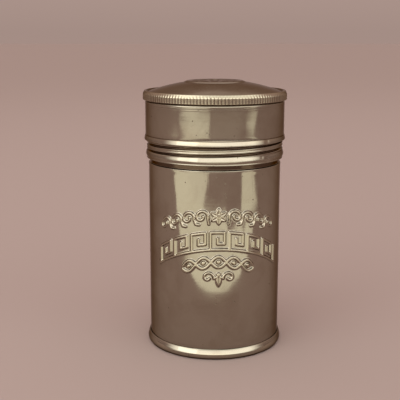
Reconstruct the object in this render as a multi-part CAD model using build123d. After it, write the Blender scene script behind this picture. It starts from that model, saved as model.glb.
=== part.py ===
from build123d import *
from math import cos, pi, sin
import os

# A sheet-metal shaving-stick container with a screw cap. Lengths are in millimetres.
# It stands on z = 0 with its axis on Z, and its front faces -Y.

# Body tube
body_radius = 19.0  # outside of the plain body
body_wall = 0.35
body_height = 53.3  # where the plain body starts to curve in to the neck
shoulder_height = 0.5  # height of that curve
shoulder_bend = 0.3
neck_step = 0.5  # how far the neck, which the cap covers, is drawn in from the body
neck_height = 16.85  # from the shoulder to the mouth
flare_out = 0.17  # how far the lower edge is turned out inside the rolled bead
flare_height = 0.7

# Base plate
plate_wall = 0.3
panel_lift = 0.6  # underside of the panel above the resting plane
panel_air = 0.75  # from the inside of the tube to the edge of the panel
foot_slope = 0.4  # width of the slope between the panel and the foot
foot_width = 0.7
bead_height = 3.1
bead_stand = 0.7  # how far the rolled bead stands out from the body
bead_widest = 1.9  # height of the widest point
seam_gap = 0.03
tube_seat_gap = 0.15  # lower edge of the tube above the panel

# Cap skirt
cap_wall = 0.35
lip_gap = 1.05  # from the tube's shoulder to the cap's lower edge
lip_height = 2.5
lip_stand = 0.27  # how far the lip stands out from the threaded band
lip_turn_in = 0.1  # how far its lower edge is turned back in
thread_air = 0.2  # from a thread crest to the wall it runs along
thread_depth = 0.45
band_height = 2.75
ring_height = 2.1
ring_stand = 0.7
wall_stand = 0.4  # how far the plain wall stands out from the threaded band
top_step = 0.45  # how far the wall steps in under the knurled rim
top_step_height = 0.5
snap_gap = 0.45  # from that step to the snap bead
snap_height = 0.8
snap_stand = 0.25
hook_drop = 0.22  # middle of the turned-in edge below the snap bead
corner_height = 0.375
flange_width = 2.8

# Screw thread, rolled into the skirt and the neck
thread_pitch = 1.81
thread_turns = 1.5
ridge_root_width = 1.0
ridge_crest_width = 0.4
groove_width = 0.6
sink = 0.05  # how far a ridge is rooted in its wall

# Cap top
rim_air = 0.475  # from the stepped-in wall to the inside of the rim
hook_air = 0.095  # from that wall to the turned-in edge
rim_bend = 0.2
rim_top_round = 0.6
dome_edge_width = 0.6  # from the middle of the rim wall to the edge of the dome
dome_edge_lift = 0.32  # dome edge above the skirt's flange
dome_rise = 2.63
dome_crown = 1.0
medallion_radius = 8.8
medallion_slope = 0.4
medallion_rise = 0.425
medallion_crown = 0.15
boss_radius = 1.4
boss_height = 0.25
tooth_count = 138
tooth_root = 0.025  # valleys of the knurl outside the rim's wall
tooth_height = 0.2
knurl_margin = 0.05  # teeth short of the rim's top, and of the middle of its turned-in edge

# Liner and facing
cork_thickness = 1.5
cork_air = 0.25  # between the cork's edge and the skirt
cork_bevel = 0.2
facing_thickness = 0.3
facing_overlap = 0.25  # how far the facing reaches past the neck
stack_gap = 0.05  # between the mouth, the facing, the cork and the flange

# Shaving stick
stick_air = 0.75  # from the paper band to the inside of the neck
soap_shoulder = 5.0
head_space = 7.0  # from the top of the soap to the mouth
foil_wall = 0.12
foil_height = 47.0
wrap_gap = 0.04
band_wall = 0.2
band_bottom = 7.0
band_width = 32.0

# Heights and radii that follow from those sizes
neck_radius = body_radius - neck_step
panel_radius = body_radius - body_wall - panel_air
soap_radius = neck_radius - body_wall - stick_air - band_wall - wrap_gap - foil_wall - wrap_gap
shoulder_top = body_height + shoulder_height
mouth = shoulder_top + neck_height
body_middle = body_radius - body_wall / 2
neck_middle = neck_radius - body_wall / 2
panel_top = panel_lift + plate_wall
cap_bottom = shoulder_top + lip_gap
lip_top = cap_bottom + lip_height
band_top = lip_top + band_height
ring_top = band_top + ring_height
band_middle = neck_radius + thread_air + thread_depth + cap_wall / 2
wall_middle = band_middle + wall_stand
top_middle = wall_middle - top_step
facing_bottom = mouth + stack_gap
cork_bottom = facing_bottom + facing_thickness + stack_gap
flange_bottom = cork_bottom + cork_thickness + stack_gap
flange_middle = flange_bottom + cap_wall / 2
snap_top = flange_middle - corner_height
snap_bottom = snap_top - snap_height
step_top = snap_bottom - snap_gap
step_bottom = step_top - top_step_height
hook_middle = snap_bottom - hook_drop
rim_middle = top_middle + cap_wall / 2 + rim_air + cap_wall / 2
dome_edge = rim_middle - dome_edge_width
dome_bottom = flange_middle + cap_wall / 2 + dome_edge_lift
thread_middle = (lip_top + band_top) / 2
soap_bottom = panel_top + stack_gap + foil_wall + wrap_gap
soap_top = mouth - head_space


def spun_sheet(middle, wall):
    """A round sheet-metal shell. The line runs along the middle of the sheet's section, and what lies
    left of the axis is trimmed off."""
    outline = offset(middle, amount=wall / 2, kind=Kind.ARC, side=Side.BOTH)
    reach = 2 * (mouth + rim_middle)
    right_half = Plane.XZ * Rectangle(reach, reach, align=(Align.MIN, Align.CENTER))
    return revolve(make_face(outline.edges()) & right_half, Axis.Z)


def helical_bead(root, crest, root_width, crest_width, height):
    """A bead wound along the thread, from its root radius to its crest radius.

    The middle of the thread is at the back, at the given height."""
    path = Helix(pitch=thread_pitch, height=thread_pitch * thread_turns, radius=root)
    section = make_face(
        Polyline(
            (0, -root_width / 2),
            (crest - root, -crest_width / 2),
            (crest - root, crest_width / 2),
            (0, root_width / 2),
            close=True,
        )
    )
    start = Plane(origin=path @ 0, x_dir=(1, 0, 0), z_dir=path % 0)
    bead = sweep(start * section, path=path, is_frenet=True)
    start_height = height - thread_pitch * thread_turns / 2
    return Pos(0, 0, start_height) * Rot(0, 0, 90 - 180 * thread_turns) * bead


def make_body_tube():
    """Drawn tube, open at both ends, necked in for the cap and threaded with one rolled ridge."""
    flare_bottom = panel_top + tube_seat_gap + body_wall / 2
    with BuildLine(Plane.XZ) as middle:
        flare = Line((body_middle + flare_out, flare_bottom), (body_middle, flare_bottom + flare_height))
        FilletPolyline(
            flare @ 1,
            (body_middle, body_height),
            (neck_middle, shoulder_top),
            (neck_middle, mouth - body_wall / 2),
            radius=shoulder_bend,
        )
    tube = spun_sheet(middle.line, body_wall)
    height = thread_middle - thread_pitch / 2
    crest = neck_radius + thread_depth
    ridge = helical_bead(neck_radius - sink, crest, ridge_root_width, ridge_crest_width, height)
    return tube + ridge


def make_base_plate():
    """Pressed plate with a recessed panel, a narrow foot and a rim rolled over the end of the tube."""
    floor = plate_wall / 2
    foot_start = panel_radius + foot_slope
    foot_end = foot_start + foot_width
    widest = body_radius + bead_stand - plate_wall / 2
    rim_end = body_radius + seam_gap + plate_wall / 2
    with BuildLine(Plane.XZ) as middle:
        Polyline(
            (-panel_radius, panel_lift + floor),
            (panel_radius, panel_lift + floor),
            (foot_start, floor),
            (foot_end, floor),
        )
        ThreePointArc((foot_end, floor), (widest, bead_widest), (rim_end, bead_height - floor))
    return spun_sheet(middle.line, plate_wall)


def make_cap_skirt():
    """Drawn band of the cap: a turned-in lip, the rolled thread, a raised ring, the plain wall,
    a snap bead under the knurled rim and a flange turned in above the cork."""
    with BuildLine(Plane.XZ) as middle:
        lip_start = (band_middle - lip_turn_in, cap_bottom + cap_wall / 2)
        lip_widest = (band_middle + lip_stand, (cap_bottom + lip_top) / 2)
        lip = ThreePointArc(lip_start, lip_widest, (band_middle, lip_top))
        band = Line(lip @ 1, (band_middle, band_top))
        ring_widest = (band_middle + ring_stand, band_top + ring_height / 2)
        ring = ThreePointArc(band @ 1, ring_widest, (wall_middle, ring_top))
        wall = Polyline(
            ring @ 1,
            (wall_middle, step_bottom),
            (top_middle, step_top),
            (top_middle, snap_bottom),
        )
        snap_widest = (top_middle + snap_stand, (snap_bottom + snap_top) / 2)
        snap = ThreePointArc(wall @ 1, snap_widest, (top_middle, snap_top))
        Polyline(
            snap @ 1,
            (top_middle, flange_middle),
            (top_middle - flange_width, flange_middle),
        )
    skirt = spun_sheet(middle.line, cap_wall)
    inside = band_middle - cap_wall / 2
    outside = band_middle + cap_wall / 2
    crest = inside - thread_depth
    ridge = helical_bead(inside + sink, crest, ridge_root_width, ridge_crest_width, thread_middle)
    groove = helical_bead(outside + sink, crest + cap_wall, groove_width, groove_width / 4, thread_middle)
    return skirt + ridge - groove


def knurled_ring():
    """Ring of fine upright teeth round the rim."""
    valley = rim_middle + cap_wall / 2 + tooth_root
    crest = valley + tooth_height
    corners = []
    for step in range(2 * tooth_count):
        radius = crest if step % 2 == 0 else valley
        angle = pi * step / tooth_count
        corners.append((radius * cos(angle), radius * sin(angle)))
    bottom = hook_middle + knurl_margin
    top = dome_bottom + rim_top_round - cap_wall / 2 - knurl_margin
    ring = make_face(Polyline(*corners, close=True)) - Circle(rim_middle)
    return Pos(0, 0, bottom) * extrude(ring, top - bottom)


def make_cap_top():
    """Domed disc with a raised round medallion. Its rim is turned in under the snap bead."""
    dome_top = dome_bottom + dome_rise
    medallion_edge = dome_top + medallion_rise
    dome_start = medallion_radius + medallion_slope
    dome_halfway = ((dome_start + dome_edge) / 2, (dome_bottom + dome_top) / 2 + dome_crown / 4)
    with BuildLine(Plane.XZ) as middle:
        crown = ThreePointArc(
            (-medallion_radius, medallion_edge),
            (0, medallion_edge + medallion_crown),
            (medallion_radius, medallion_edge),
        )
        step = Line(crown @ 1, (dome_start, dome_top))
        dome = ThreePointArc(step @ 1, dome_halfway, (dome_edge, dome_bottom))
        roll_top = ((dome_edge + rim_middle) / 2, dome_bottom + rim_top_round / 2)
        roll = ThreePointArc(dome @ 1, roll_top, (rim_middle, dome_bottom - rim_bend))
        FilletPolyline(
            roll @ 1,
            (rim_middle, hook_middle),
            (top_middle + cap_wall / 2 + hook_air + cap_wall / 2, hook_middle),
            radius=rim_bend,
        )
    disc = spun_sheet(middle.line, cap_wall)
    boss_base = medallion_edge + medallion_crown
    boss = Cylinder(boss_radius, boss_height + cap_wall / 2, align=(Align.CENTER, Align.CENTER, Align.MIN))
    boss = fillet(boss.edges().group_by(Axis.Z)[-1], boss_height / 2)
    return disc + Pos(0, 0, boss_base) * boss + knurled_ring()


def make_cork_liner():
    """Cork disc that closes the mouth when the cap is screwed down."""
    radius = top_middle - cap_wall / 2 - cork_air
    disc = Cylinder(radius, cork_thickness, align=(Align.CENTER, Align.CENTER, Align.MIN))
    disc = chamfer(disc.edges().filter_by(GeomType.CIRCLE), cork_bevel)
    return Pos(0, 0, cork_bottom) * disc


def make_paper_facing():
    """Loose waxed-paper disc between the cork and the mouth of the tube."""
    radius = neck_radius + facing_overlap
    disc = Cylinder(radius, facing_thickness, align=(Align.CENTER, Align.CENTER, Align.MIN))
    return Pos(0, 0, facing_bottom) * disc


def make_soap_stick():
    """Solid stick of hard shaving soap with a rounded top."""
    stick = Cylinder(soap_radius, soap_top - soap_bottom, align=(Align.CENTER, Align.CENTER, Align.MIN))
    stick = fillet(stick.edges().group_by(Axis.Z)[-1], soap_shoulder)
    return Pos(0, 0, soap_bottom) * stick


def make_foil_wrap():
    """Thin metal foil cup round the lower part of the soap."""
    inside = soap_radius + wrap_gap
    bottom = soap_bottom - wrap_gap - foil_wall
    cup = Cylinder(inside + foil_wall, foil_height, align=(Align.CENTER, Align.CENTER, Align.MIN))
    hollow = Cylinder(inside, foil_height, align=(Align.CENTER, Align.CENTER, Align.MIN))
    return Pos(0, 0, bottom) * (cup - Pos(0, 0, foil_wall) * hollow)


def make_paper_band():
    """Plain paper band pasted round the foil."""
    inside = soap_radius + wrap_gap + foil_wall + wrap_gap
    band = Cylinder(inside + band_wall, band_width, align=(Align.CENTER, Align.CENTER, Align.MIN))
    hollow = Cylinder(inside, 3 * band_width)
    return Pos(0, 0, band_bottom) * (band - hollow)


pieces = {
    "body_tube": make_body_tube,
    "base_plate": make_base_plate,
    "cap_skirt": make_cap_skirt,
    "cap_top": make_cap_top,
    "cork_liner": make_cork_liner,
    "paper_facing": make_paper_facing,
    "soap_stick": make_soap_stick,
    "foil_wrap": make_foil_wrap,
    "paper_band": make_paper_band,
}

os.makedirs("parts", exist_ok=True)
for name, make in pieces.items():
    export_step(make(), f"parts/{name}.step")
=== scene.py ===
import math
import bpy
import numpy as np
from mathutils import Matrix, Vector


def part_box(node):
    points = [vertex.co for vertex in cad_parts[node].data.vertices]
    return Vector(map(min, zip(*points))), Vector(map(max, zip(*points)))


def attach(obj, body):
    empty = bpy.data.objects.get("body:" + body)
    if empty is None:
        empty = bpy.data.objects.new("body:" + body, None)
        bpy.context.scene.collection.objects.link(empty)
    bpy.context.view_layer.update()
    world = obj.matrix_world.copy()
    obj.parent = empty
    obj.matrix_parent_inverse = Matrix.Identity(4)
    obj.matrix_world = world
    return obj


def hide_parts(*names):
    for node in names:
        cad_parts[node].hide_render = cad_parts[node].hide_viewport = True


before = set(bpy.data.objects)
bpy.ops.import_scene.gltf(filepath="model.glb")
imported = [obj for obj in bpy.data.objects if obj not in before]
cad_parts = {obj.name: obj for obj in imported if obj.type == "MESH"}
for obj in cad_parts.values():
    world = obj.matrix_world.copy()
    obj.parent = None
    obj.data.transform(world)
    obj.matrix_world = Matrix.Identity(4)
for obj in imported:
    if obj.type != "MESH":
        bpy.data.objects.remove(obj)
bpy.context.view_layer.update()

# ---------------------------------------------------------------------------------------------
# Base plate. A disc pressed from thin sheet brass and nickel-plated, with a recessed panel and a
# narrow foot. Its rim is rolled up round the lower end of the tube and closed on it.
# ---------------------------------------------------------------------------------------------
MM = 0.001
PLATE = 0.3
PANEL_RADIUS = 17.9
PANEL_LIFT = 0.6
PANEL_RINGS = (13.0, 7.0)
PANEL_RING_DEPTH = 0.1
FOOT_START = 18.3
FOOT_RADIUS = 18.65
FOOT_END = 18.85
plate_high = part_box("base_plate")[1]
BEAD_TOP = plate_high.z / MM
BEAD_RADIUS = plate_high.x / MM
BEAD_WIDEST = 1.75
BEAD_BOW = 0.85
BEAD_BOW_HEIGHT = 1.3
BEAD_STEPS = 24
SEAM_GAP = 0.03
BODY_RADIUS = 19.0
SLICE_STEPS = 40
WELD = 0.002
CLEAN_NICKEL = (0.365, 0.33, 0.268)
# Brown for tarnish clouds, for dirt, and for painted shade.
TARNISH_AND_SHADE_NICKEL = (0.25, 0.2, 0.15)
HAZED_NICKEL = (0.38, 0.36, 0.28)
BARE_BRASS = (0.62, 0.55, 0.39)
PITTED_BRASS = (0.1, 0.07, 0.045)
# Near black, for the deepest dirt and for painted shadow.
GRIME_AND_SHADE_BROWN = (0.09, 0.06, 0.04)


def run(start, end, spacing):
    """Points along a straight stretch of a section, at most that far apart, without its end point."""
    count = max(1, math.ceil(math.dist(start, end) / spacing))
    return [
        (start[0] + (end[0] - start[0]) * i / count, start[1] + (end[1] - start[1]) * i / count)
        for i in range(count)
    ]


def bend(centre, radius, start, end, steps):
    """Points round a bend of a section. Angles are in degrees, 0 is outward and 90 is up."""
    angles = [math.radians(start + (end - start) * i / steps) for i in range(steps + 1)]
    return [(centre[0] + radius * math.cos(a), centre[1] + radius * math.sin(a)) for a in angles]


def swell(start, end, bulge, steps):
    """Points along a stretch of a section that swells outward between its ends, without its end point."""
    points = []
    for i in range(steps):
        t = 0.5 - 0.5 * math.cos(math.pi * i / steps)
        radius = start[0] + (end[0] - start[0]) * t + bulge * (1 - (2 * t - 1) ** 2)
        points.append((radius, start[1] + (end[1] - start[1]) * t))
    return points


def spin_section(name, section, sectors, start_angle=0.0, closed=True):
    """Draws the section of a round piece as a chain of edges and spins it about the axis, one sector
    after another. A sector is its angle and its number of steps, and it is spun in slices, which are
    joined at the end. The section of a ring is closed, and that of a disc starts and ends on the axis."""
    if closed:
        section = section + section[:1]
    across = Vector((math.cos(start_angle), math.sin(start_angle), 0))
    points = [across * (r * MM) + Vector((0, 0, z * MM)) for r, z in section]
    bpy.ops.object.select_all(action="DESELECT")
    bpy.ops.mesh.primitive_plane_add(size=MM, location=points[0])
    chain = bpy.context.object
    bpy.ops.object.transform_apply(location=True, rotation=True, scale=True)
    bpy.ops.object.mode_set(mode="EDIT")
    bpy.ops.mesh.merge(type="CENTER")
    for here, there in zip(points, points[1:]):
        bpy.ops.mesh.extrude_vertices_move(TRANSFORM_OT_translate={"value": there - here})
    bpy.ops.object.mode_set(mode="OBJECT")
    slices = []
    turned = 0.0
    for angle, steps in sectors:
        count = max(1, round(steps / SLICE_STEPS))
        for _ in range(count):
            bpy.ops.object.select_all(action="DESELECT")
            chain.select_set(True)
            bpy.context.view_layer.objects.active = chain
            bpy.ops.object.duplicate()
            slices.append(bpy.context.object)
            slices[-1].rotation_euler.z = turned
            bpy.ops.object.transform_apply(location=False, rotation=True, scale=False)
            bpy.ops.object.mode_set(mode="EDIT")
            bpy.ops.mesh.select_all(action="SELECT")
            bpy.ops.mesh.spin(
                steps=round(steps / count), angle=-angle / count, center=(0, 0, 0), axis=(0, 0, 1)
            )
            bpy.ops.object.mode_set(mode="OBJECT")
            turned += angle / count
    bpy.data.objects.remove(chain)
    bpy.ops.object.select_all(action="DESELECT")
    for part in slices:
        part.select_set(True)
    piece = bpy.context.view_layer.objects.active = slices[0]
    bpy.ops.object.join()
    piece.name = piece.data.name = name
    bpy.ops.object.mode_set(mode="EDIT")
    bpy.ops.mesh.select_all(action="SELECT")
    bpy.ops.mesh.remove_doubles(threshold=WELD * MM)
    bpy.ops.mesh.normals_make_consistent(inside=False)
    bpy.ops.object.mode_set(mode="OBJECT")
    bpy.ops.object.shade_smooth()
    return piece


def vertex_places(piece):
    """Radius, angle and height of every vertex, in millimetres and radians."""
    flat = np.zeros(len(piece.data.vertices) * 3)
    piece.data.vertices.foreach_get("co", flat)
    x, y, z = flat.reshape(-1, 3).T / MM
    return np.hypot(x, y), np.arctan2(y, x), z


def move_vertices(piece, radius, angle, height):
    flat = np.column_stack((radius * np.cos(angle), radius * np.sin(angle), height)) * MM
    piece.data.vertices.foreach_set("co", flat.ravel())
    piece.data.update()


def paint(piece, name, amount):
    """Keeps an amount from 0 to 1 for every vertex, for a material to read."""
    layer = piece.data.attributes.new(name, "FLOAT", "POINT")
    layer.data.foreach_set("value", np.clip(amount, 0, 1).astype(np.float32))


def smooth_step(value):
    value = np.clip(value, 0, 1)
    return value * value * (3 - 2 * value)


def soft_line(value, middle, width):
    """A line with soft sides, 1 along its middle."""
    return np.exp(-(((value - middle) / width) ** 2))


def dent(across, up, wide, deep):
    """Depth of one shallow round dent, from the distances to its middle."""
    return deep * np.exp(-((across ** 2 + up ** 2) / wide ** 2))


def add_step(material, kind, inputs, **settings):
    """Adds one shader node. Its inputs are values or other nodes' outputs."""
    step = material.node_tree.nodes.new("ShaderNode" + kind)
    for setting, value in settings.items():
        setattr(step, setting, value)
    for socket, value in inputs.items():
        if isinstance(value, bpy.types.NodeSocket):
            material.node_tree.links.new(value, step.inputs[socket])
        else:
            step.inputs[socket].default_value = value
    return step


def spread(material, value, low, high, low_to=0.0, high_to=1.0):
    """Stretches a value between two limits, and clamps it."""
    inputs = {"Value": value, "From Min": low, "From Max": high, "To Min": low_to, "To Max": high_to}
    return add_step(material, "MapRange", inputs).outputs["Result"]


def calculate(material, operation, first, second):
    return add_step(material, "Math", {0: first, 1: second}, operation=operation).outputs[0]


def noise(material, place, scale, detail, roughness=0.5, distortion=0.0):
    """Cloudy noise from 0 to 1."""
    inputs = {"Vector": place, "Scale": scale, "Detail": detail}
    inputs.update({"Roughness": roughness, "Distortion": distortion})
    return add_step(material, "TexNoise", inputs).outputs["Fac"]


def painted(material, name):
    """The amount that paint() keeps under that name."""
    return add_step(material, "Attribute", {}, attribute_name=name).outputs["Fac"]


def bumps(material, height, strength, depth):
    inputs = {"Height": height, "Strength": strength, "Distance": depth}
    return add_step(material, "Bump", inputs).outputs[0]


def blend_colours(material, amount, first, second):
    step = add_step(material, "Mix", {0: amount}, data_type="RGBA")
    for socket, value in ((step.inputs[6], first), (step.inputs[7], second)):
        if isinstance(value, bpy.types.NodeSocket):
            material.node_tree.links.new(value, socket)
        else:
            socket.default_value = (*value, 1)
    return step.outputs[2]


def start_material(name):
    """A new material, and the place on the object that is being shaded."""
    material = bpy.data.materials.new(name)
    material.use_nodes = True
    return material, add_step(material, "TexCoord", {}).outputs["Object"]


def connect(material, colour, rough, bump):
    """Plugs the colour, the roughness and the bumps into the material's shader, and returns it."""
    shader = material.node_tree.nodes["Principled BSDF"]
    for socket, value in (("Base Color", colour), ("Roughness", rough), ("Normal", bump)):
        material.node_tree.links.new(value, shader.inputs[socket])
    return shader


def nickel_plate(name, clean=CLEAN_NICKEL, tarnish_and_shade=TARNISH_AND_SHADE_NICKEL, gloss=0.075):
    """Old polished nickel plate over brass: fine turning marks round the axis, soft brown clouds of
    tarnished plate, small dark pits, hair scratches, and brass where it has worn. A painted amount darkens
    it further, to near black: partly dirt and tarnished plate in recesses and joints, partly painted shade
    along the floor, inside and under the pieces, and in the gaps between them."""
    material, place = start_material(name)
    level = add_step(material, "VectorMath", {0: place, 1: (1, 1, 0)}, operation="MULTIPLY").outputs[0]
    radius = add_step(material, "VectorMath", {0: level}, operation="LENGTH").outputs["Value"]
    height = add_step(material, "SeparateXYZ", {0: place}).outputs["Z"]
    sway = calculate(material, "MULTIPLY", noise(material, place, 60.0, 1.0), 0.0006)
    section_place = add_step(material, "CombineXYZ", {"X": radius, "Y": sway, "Z": height}).outputs[0]
    marks = noise(material, section_place, 2400.0, 3.0)
    clouds = noise(material, place, 95.0, 6.0, roughness=0.62, distortion=0.6)
    haze = noise(material, place, 260.0, 4.0, roughness=0.7)
    pit_field = add_step(material, "TexVoronoi", {"Vector": place, "Scale": 700.0}).outputs["Distance"]
    pit_field = spread(material, pit_field, 0.17, 0.08)
    pit_where = spread(material, noise(material, place, 420.0, 2.0), 0.56, 0.62)
    pits = calculate(material, "MULTIPLY", pit_field, pit_where)
    scratches = []
    for turn, stretch in (((0.5, 0.9, 0.4), (2600, 40, 40)), ((-0.7, 0.3, 1.3), (2100, 55, 55))):
        inputs = {"Vector": place, "Rotation": turn, "Scale": stretch}
        stretched = add_step(material, "Mapping", inputs).outputs[0]
        scratches.append(spread(material, noise(material, stretched, 1.0, 1.0), 0.69, 0.74))
    scratches = calculate(material, "MAXIMUM", *scratches)
    grime_and_shade = painted(material, "grime_and_shade")
    wear = painted(material, "wear")

    # Tarnish clouds and the painted amount turn the plate brown; the painted amount is partly dirt in
    # recesses and partly painted shade.
    tarnish_and_shade_amount = calculate(material, "MAXIMUM", spread(material, clouds, 0.45, 0.75, 0.0, 0.6), grime_and_shade)
    colour = blend_colours(material, tarnish_and_shade_amount, clean, tarnish_and_shade)
    colour = blend_colours(material, spread(material, haze, 0.35, 0.8, 0.0, 0.25), colour, HAZED_NICKEL)
    colour = blend_colours(material, wear, colour, BARE_BRASS)
    colour = blend_colours(material, calculate(material, "MULTIPLY", pits, 0.8), colour, PITTED_BRASS)
    # Near black where the painted amount is high: dirt in the deepest recesses, and painted shadow at the
    # floor and under the cap's lip.
    colour = blend_colours(material, spread(material, grime_and_shade, 0.4, 0.85, 0.0, 0.9), colour, GRIME_AND_SHADE_BROWN)
    rough = spread(material, marks, 0.3, 0.75, gloss * 0.85, gloss * 1.25)
    rough = calculate(material, "ADD", rough, spread(material, haze, 0.45, 0.8, 0.0, 0.06))
    rough = calculate(material, "ADD", rough, calculate(material, "MULTIPLY", tarnish_and_shade_amount, 0.06))
    rough = calculate(material, "ADD", rough, calculate(material, "MULTIPLY", pits, 0.3))
    relief = calculate(material, "MULTIPLY", marks, 0.3)
    relief = calculate(material, "SUBTRACT", relief, calculate(material, "MULTIPLY", pits, 0.8))
    relief = calculate(material, "SUBTRACT", relief, calculate(material, "MULTIPLY", scratches, 0.5))
    shader = connect(material, colour, rough, bumps(material, relief, 0.35, 0.00002))
    shader.inputs["Metallic"].default_value = 1.0
    shader.inputs["Specular Tint"].default_value = (0.4, 0.34, 0.29, 1)
    return material


edge = BODY_RADIUS + SEAM_GAP
inside_bulge = BEAD_RADIUS - PLATE - FOOT_END - 0.1
plate = [(0, PANEL_LIFT + PLATE)]
plate += run((1.0, PANEL_LIFT + PLATE), (PANEL_RADIUS, PANEL_LIFT + PLATE), 1.5)
plate += [(PANEL_RADIUS, PANEL_LIFT + PLATE), (FOOT_START, PLATE), (FOOT_END, PLATE)]
plate += swell((FOOT_END, PLATE), (edge + 0.02, BEAD_TOP - 0.35), inside_bulge, 10)[1:]
plate += bend((edge + 0.1, BEAD_TOP - 0.1), 0.1, 180, 50, 5)
plate += swell((edge + 0.24, BEAD_TOP - 0.3), (BEAD_RADIUS - 0.06, BEAD_WIDEST), 0.03, 10)
for i in range(BEAD_STEPS + 1):
    bow = math.radians(18 - 106 * i / BEAD_STEPS)
    plate.append((BEAD_RADIUS - BEAD_BOW * (1 - math.cos(bow)), BEAD_BOW_HEIGHT * (1 + math.sin(bow))))
plate += [(FOOT_RADIUS + 0.2, 0.0), (FOOT_RADIUS - 0.25, 0.0), (FOOT_START - 0.1, 0.08)]
plate += [(PANEL_RADIUS + 0.1, PANEL_LIFT - 0.08), (PANEL_RADIUS - 0.15, PANEL_LIFT)]
for ring in PANEL_RINGS:
    plate += [(ring + 0.5, PANEL_LIFT), (ring + 0.25, PANEL_LIFT + PANEL_RING_DEPTH)]
    plate += [(ring - 0.25, PANEL_LIFT + PANEL_RING_DEPTH), (ring - 0.5, PANEL_LIFT)]
plate += [(3.0, PANEL_LIFT), (0, PANEL_LIFT)]
base_plate = spin_section("base_plate_pressing", plate, [(2 * math.pi, 256)], closed=False)
r, a, z = vertex_places(base_plate)
dents = 0.03 * np.sin(3 * a + 1.0) * np.sin(5 * a) * (r > BODY_RADIUS + 0.1)
move_vertices(base_plate, r + dents - 0.03 * (r > BODY_RADIUS + 0.4), a, z)
# Darkened where the tube goes into the rolled rim, a dark joint; on the underside inside the foot; and on
# the lowest millimetre of the bead's outside, a painted contact shadow where it meets the floor.
seam = smooth_step((BODY_RADIUS + 0.14 - r) / 0.1) * (z > BEAD_TOP - 0.25)
contact_shadow = smooth_step((1.0 - z) / 0.6) * (r > FOOT_RADIUS - 0.15)
in_foot = 0.75 * (z < 0.5) * (r < FOOT_RADIUS - 0.15)
paint(base_plate, "grime_and_shade", np.maximum.reduce([0.8 * seam, in_foot, contact_shadow]))
rubbed = smooth_step((r - BODY_RADIUS - 0.5) / 0.2) * (z > 1.2)
paint(base_plate, "wear", 0.3 * rubbed * (0.5 + 0.5 * np.sin(7 * a)))
base_plate.data.materials.append(nickel_plate("base_nickel"))
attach(base_plate, "container")
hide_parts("base_plate")

# ---------------------------------------------------------------------------------------------
# Body tube. Drawn from sheet brass and nickel-plated, open at both ends, with an ornament struck
# into its front. Its upper end is necked in for the cap, and one thread ridge is rolled round the
# neck. The front is spun in finer steps than the back, so that the ornament can be raised in it.
# ---------------------------------------------------------------------------------------------
TUBE_BOTTOM = 1.2
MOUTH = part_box("body_tube")[1].z / MM
NECK_RADIUS = 18.5
SHEET = 0.35
NECK_INSIDE = NECK_RADIUS - SHEET
BODY_INSIDE = BODY_RADIUS - SHEET
SHOULDER = 53.3
SHOULDER_BEND = 0.25
THREAD_BOTTOM = 55.6
THREAD_TOP = 60.2
THREAD_PITCH = 1.81
THREAD_TURNS = 1.5
THREAD_DEPTH = 0.45
THREAD_MIDDLE = 58.55
RIDGE_WIDTH = 0.5
RIDGE_SLOPE = 0.32
FRONT = math.radians(-90)
FRONT_SPREAD = math.radians(66)
ORNAMENT_BOTTOM = 19.5
ORNAMENT_TOP = 45.0
ORNAMENT_SHIFT = 1.2
RELIEF = 0.5
FLANK = 0.26
SCROLL_PITCH = 3.8
KEY_PITCH = 5.25
KEY_TURNS = 7
KEY_HEIGHT = 2.4
KEY_LINE = 0.84
EYE_PITCH = 4.2
STRAND_SWING = 1.5
CURL_STEPS = 16
# A dent is its place across and up, its width and its depth.
BODY_DENTS = ((-11.0, 12.5, 2.6, 0.05), (8.5, 9.0, 3.4, 0.06), (3.0, 49.0, 3.0, 0.035))


def thread_line(angle, height, middle, half_width, slope_width):
    """How near each point is to the rolled thread, from 0 to 1. The thread's middle is at the back."""
    turn = 2 * math.pi
    from_back = (angle + math.pi / 2) % turn - math.pi
    near = np.zeros_like(height)
    for lap in (-1, 0, 1):
        along = from_back + lap * turn
        fade = smooth_step((math.pi * THREAD_TURNS - np.abs(along)) / math.radians(25) + 0.3)
        from_crest = np.abs(height - middle - THREAD_PITCH * along / turn)
        near = np.maximum(near, fade * smooth_step((half_width - from_crest) / slope_width))
    return near


def stroke(u, z, path, width):
    """Height of a raised line along a chain of points, over the sheet unrolled flat."""
    away = np.full_like(u, 99.0)
    for (u_start, z_start), (u_end, z_end) in zip(path, path[1:]):
        du = u_end - u_start
        dz = z_end - z_start
        t = np.clip(((u - u_start) * du + (z - z_start) * dz) / (du ** 2 + dz ** 2), 0, 1)
        away = np.minimum(away, np.hypot(u - u_start - t * du, z - z_start - t * dz))
    return smooth_step((width / 2 - away) / FLANK + 0.25)


def curl(centre, radius, end_radius, start, end):
    """Points along a spiral. Angles are in degrees, 0 is to the right and 90 is up."""
    points = []
    for i in range(CURL_STEPS + 1):
        angle = math.radians(start + (end - start) * i / CURL_STEPS)
        reach = radius + (end_radius - radius) * i / CURL_STEPS
        points.append((centre[0] + reach * math.cos(angle), centre[1] + reach * math.sin(angle)))
    return points


def leaf(u, z, foot, turn, length, width):
    """Height of one pointed leaf with a sunk midrib. It points up at a turn of 0, and to the right at a
    quarter turn."""
    s = (u - foot[0]) * math.sin(turn) + (z - foot[1]) * math.cos(turn)
    t = (u - foot[0]) * math.cos(turn) - (z - foot[1]) * math.sin(turn)
    along = np.clip(s / length, 0, 1)
    half_width = width / 2 * np.sin(math.pi * along ** 0.8) ** 0.8
    inside = smooth_step((half_width - np.abs(t)) / FLANK + 0.25) * ((s > 0) & (s < length))
    return inside * (1 - 0.45 * soft_line(t, 0, 0.13))


def berry(u, z, centre, radius):
    return smooth_step((radius - np.hypot(u - centre[0], z - centre[1])) / 0.3 + 0.2)


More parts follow.
